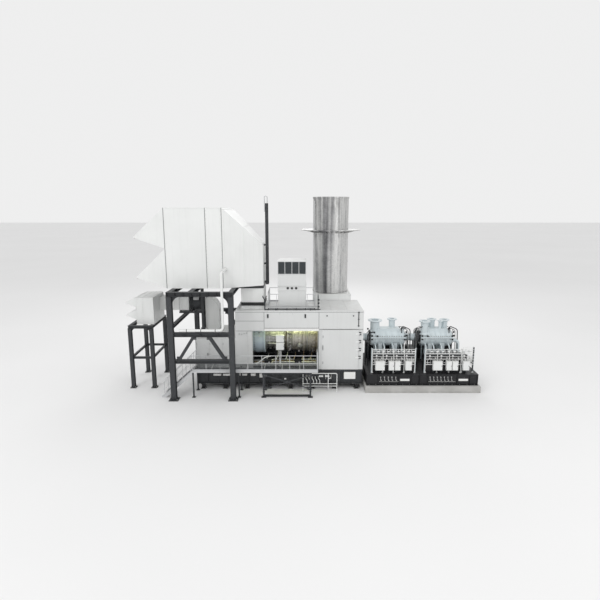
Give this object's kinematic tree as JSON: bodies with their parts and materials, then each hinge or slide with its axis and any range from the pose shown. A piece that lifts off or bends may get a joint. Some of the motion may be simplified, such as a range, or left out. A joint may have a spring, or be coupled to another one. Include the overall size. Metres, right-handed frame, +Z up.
{
  "type": "gas turbine",
  "caption": "Packaged gas turbine with raised intake filter, side exhaust stack, service walkway and a compressor train on a plinth.",
  "frame": {"origin": "on the ground under the centre of the whole set's bounding box", "axes": "+X along the shaft from the air intake to the compressors, +Y across it away from the walkway, +Z up"},
  "size_m": [25.4, 10.395, 13.78],
  "materials": {
    "white_panel": "satin off-white paint",
    "charcoal_steel": "dark charcoal paint, satin",
    "black_base": "near black paint",
    "galvanised": "galvanised, banded and weathered",
    "casing_metal": "machined and cast casings, semi-gloss",
    "inlet_paint": "light blue-grey paint",
    "compressor_paint": "pale blue-grey paint, semi-gloss",
    "concrete": "cast concrete, matt",
    "rail_paint": "light grey galvanised rail",
    "grating": "steel grating",
    "louvre_dark": "dark louvre blades"
  },
  "bodies": {
    "machine": {"package_deck": "charcoal_steel", "package_skid": "charcoal_steel", "package_feet": "charcoal_steel", "auxiliary_bay": "white_panel", "enclosure_bulkheads": "white_panel", "enclosure_rear_wall": "white_panel", "enclosure_roof": "white_panel", "enclosure_front_panels": "white_panel", "door_hinge_pins": "charcoal_steel", "turbine_inlet_casing": "inlet_paint", "compressor_casing": "casing_metal", "combustor_casing": "casing_metal", "power_turbine_casing": "casing_metal", "exhaust_collector": "casing_metal", "turbine_saddles": "black_base", "junction_boxes": "white_panel", "filter_house": "white_panel", "filter_transition": "white_panel", "weather_hoods": "white_panel", "intake_duct": "white_panel", "expansion_joint": "charcoal_steel", "filter_ladder": "charcoal_steel", "frame_columns": "charcoal_steel", "column_base_plates": "charcoal_steel", "frame_long_beams": "charcoal_steel", "frame_cross_beams": "charcoal_steel", "frame_braces": "charcoal_steel", "bleed_pipe": "white_panel", "vent_tower": "white_panel", "tower_louvres": "louvre_dark", "vent_filter_box": "white_panel", "vent_hoods": "white_panel", "vent_frame_legs": "charcoal_steel", "vent_frame_beams": "charcoal_steel", "vent_duct": "white_panel", "vent_fan": "charcoal_steel", "fan_platform": "charcoal_steel", "exhaust_plenum": "white_panel", "plenum_legs": "charcoal_steel", "exhaust_stack": "galvanised", "stack_platform": "galvanised", "walkway_deck": "grating", "walkway_legs": "charcoal_steel", "walkway_stand": "charcoal_steel", "walkway_rails": "rail_paint", "entry_stair": "charcoal_steel", "roof_rails": "rail_paint", "pipe_rack": "rail_paint", "compressor_plinth": "concrete", "compressor_bases": "black_base", "compressor_pedestals": "compressor_paint", "first_compressor": "compressor_paint", "second_compressor": "compressor_paint", "compressor_nozzles": "compressor_paint", "coupling_guards": "charcoal_steel", "instrument_racks": "rail_paint", "instrument_boxes": "white_panel"},
    "door": {"exhaust_door": "white_panel", "door_hinge_arms": "charcoal_steel"}
  },
  "joints": [
    {"name": "exhaust_door_hinge", "type": "hinge", "parent": "machine", "child": "door", "pos_m": [4.08, -2.9225, 2.97], "axis": [0, 0, 1], "range_deg": [0, 110]}
  ]
}
